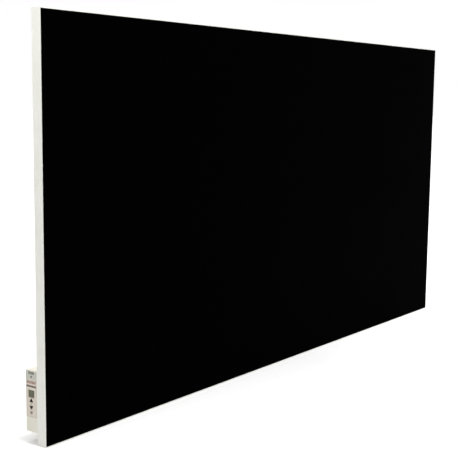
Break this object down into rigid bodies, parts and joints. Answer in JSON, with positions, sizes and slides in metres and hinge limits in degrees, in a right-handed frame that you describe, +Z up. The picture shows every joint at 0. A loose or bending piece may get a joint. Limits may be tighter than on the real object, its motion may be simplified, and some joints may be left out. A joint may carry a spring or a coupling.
{
  "type": "ceramic panel heater",
  "caption": "Flat black ceramic panel heater in a shallow white frame, with a control box behind its lower left corner and keyhole hangers on its back.",
  "frame": {"origin": "on the wall's face, midway between the four keyholes that the heater hangs on", "axes": "+X along the width towards the end without the control box, +Y from the ceramic plate back to the wall, +Z up"},
  "size_m": [1.2008, 0.04, 0.6],
  "materials": {
    "glaze": "satin",
    "white_frame": "satin",
    "white_sheet": "satin",
    "seal": "matte",
    "bare_metal": "satin",
    "plated_steel": "satin",
    "silicone_mat": "matte",
    "track_metal": "satin",
    "lead_sheath": "matte",
    "foil": "gloss",
    "insulation": "matte",
    "white_plastic": "satin",
    "label": "satin",
    "smoked_window": "gloss",
    "lamp": "gloss",
    "key": "satin",
    "set_key": "satin",
    "dark_plastic": "matte",
    "gauze": "matte",
    "grille_plastic": "satin",
    "circuit_board": "satin",
    "block_plastic": "satin",
    "gland_plastic": "satin"
  },
  "bodies": {
    "heater": {"ceramic_plate": "glaze", "plate_seal": "seal", "frame_rail_left": "white_frame", "frame_rail_right": "white_frame", "frame_rail_top": "white_frame", "frame_rail_bottom": "white_frame", "corner_keys": "bare_metal", "element_carrier": "silicone_mat", "heating_track": "track_metal", "heater_leads": "lead_sheath", "reflector_foil": "foil", "insulation_board": "insulation", "rear_cover": "white_sheet", "rear_cover_screws": "plated_steel", "hanger_upper_left": "white_sheet", "hanger_upper_right": "white_sheet", "hanger_lower_left": "white_sheet", "hanger_lower_right": "white_sheet", "thermal_cutout": "dark_plastic", "plate_sensor": "dark_plastic", "lead_grommet": "seal", "base_studs": "plated_steel", "base_nuts": "plated_steel", "control_base": "white_plastic", "control_housing": "white_plastic", "housing_screws": "plated_steel", "control_fascia": "label", "display_window": "smoked_window", "display_module": "dark_plastic", "status_lens": "lamp", "sensor_grille": "grille_plastic", "sensor_gauze": "gauze", "air_sensor": "dark_plastic", "control_board": "circuit_board", "key_switches": "dark_plastic", "power_board": "circuit_board", "terminal_block": "block_plastic", "relay": "dark_plastic", "supply_module": "dark_plastic", "filter_capacitor": "dark_plastic", "cord_gland": "gland_plastic", "gland_nut": "gland_plastic"},
    "up_button": {"up_button": "key"},
    "down_button": {"down_button": "key"},
    "set_button": {"set_button": "set_key"}
  },
  "joints": [
    {"name": "up_press", "type": "slide", "parent": "heater", "child": "up_button", "axis": [1, 0, 0], "range_m": [0, 0.0005], "stiffness_N_per_m": 300},
    {"name": "down_press", "type": "slide", "parent": "heater", "child": "down_button", "axis": [1, 0, 0], "range_m": [0, 0.0005], "stiffness_N_per_m": 300},
    {"name": "set_press", "type": "slide", "parent": "heater", "child": "set_button", "axis": [1, 0, 0], "range_m": [0, 0.0005], "stiffness_N_per_m": 300}
  ]
}
